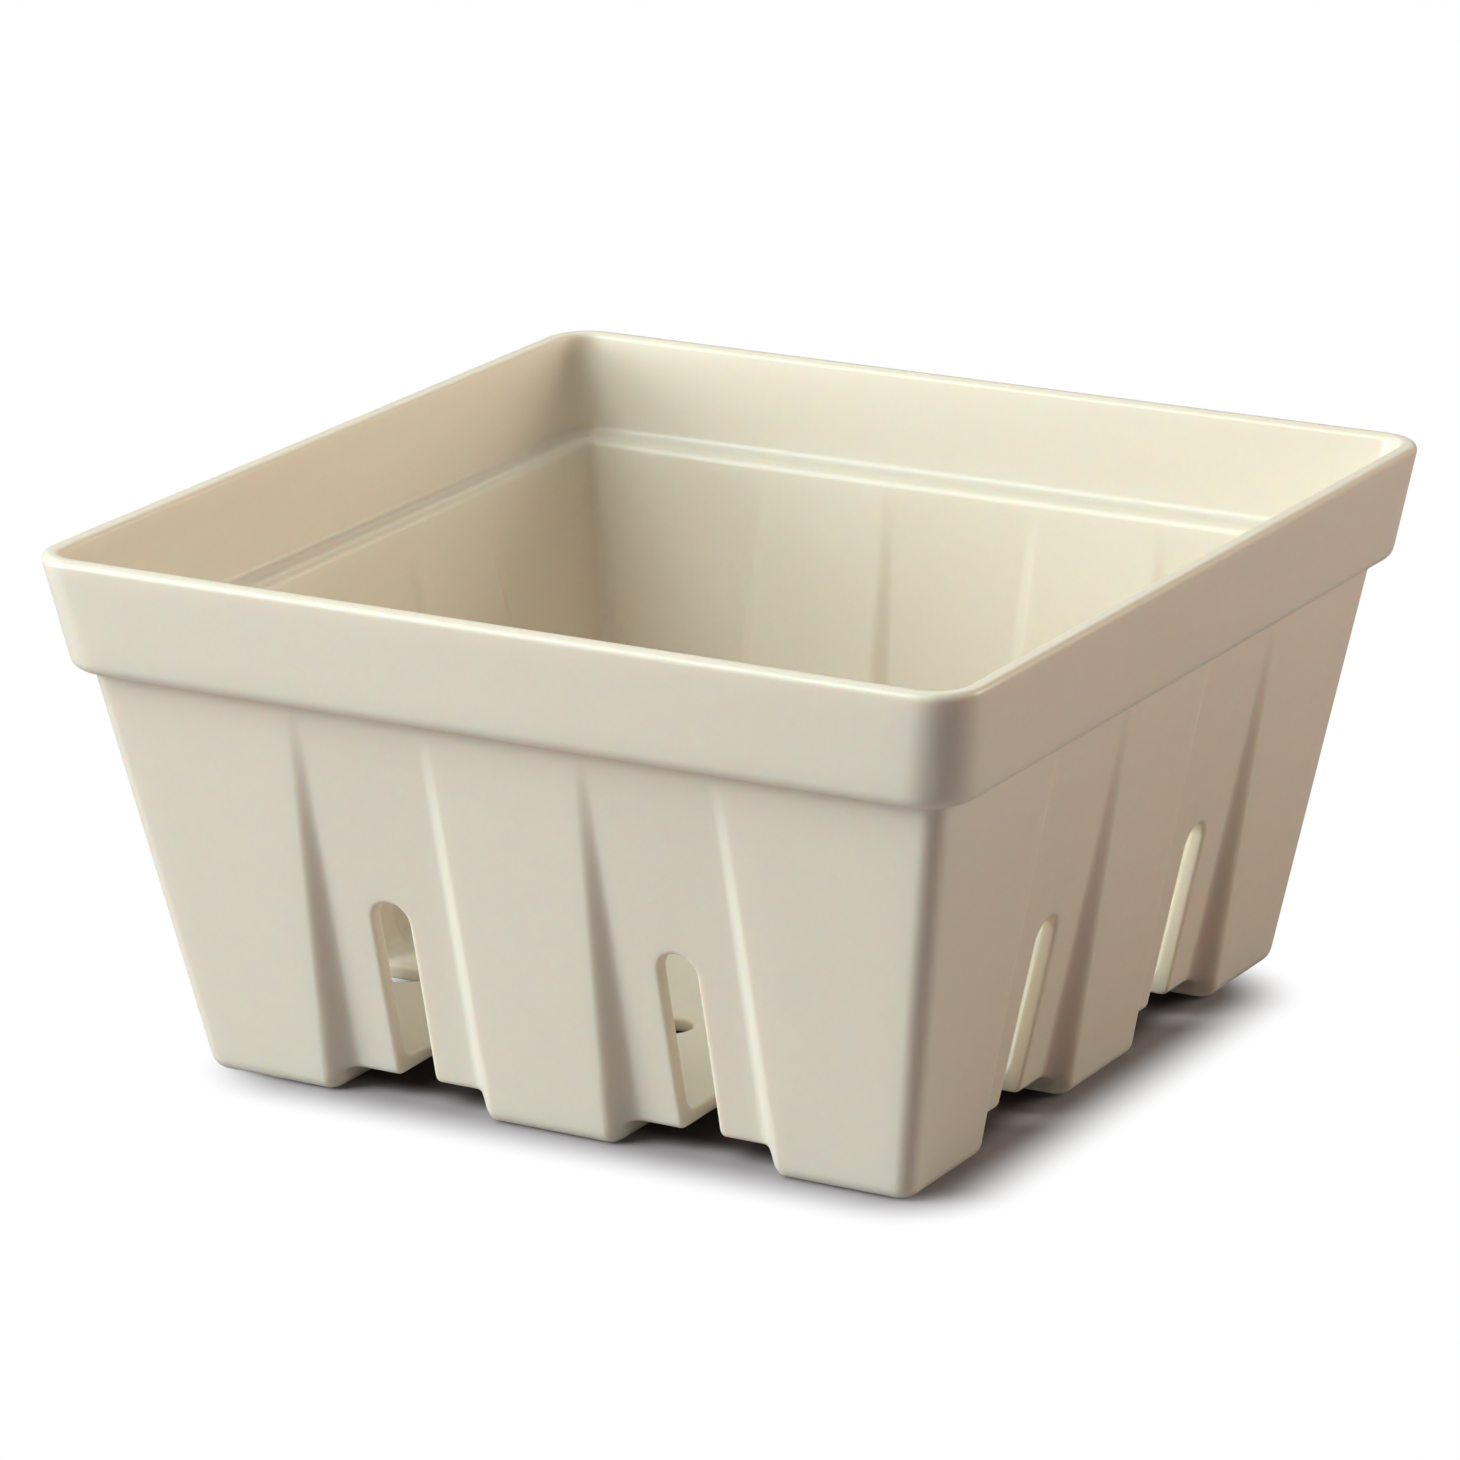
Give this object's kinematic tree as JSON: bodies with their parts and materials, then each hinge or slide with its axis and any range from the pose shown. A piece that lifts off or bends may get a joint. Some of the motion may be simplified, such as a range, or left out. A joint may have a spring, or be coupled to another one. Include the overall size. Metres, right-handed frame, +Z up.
{
  "type": "berry colander",
  "caption": "Square tapered berry colander of moulded plastic with a stepped rim band, fluted walls with drain slots, a drained floor and low feet.",
  "frame": {"origin": "middle of the footprint, on the surface that the feet stand on", "axes": "+Z up through the open top, X and Y square to the walls; the four walls are alike"},
  "size_m": [0.1396, 0.1396, 0.0742],
  "materials": {
    "cream_plastic": "satin, as moulded"
  },
  "bodies": {
    "root": {"colander_basket": "cream_plastic"}
  },
  "joints": []
}
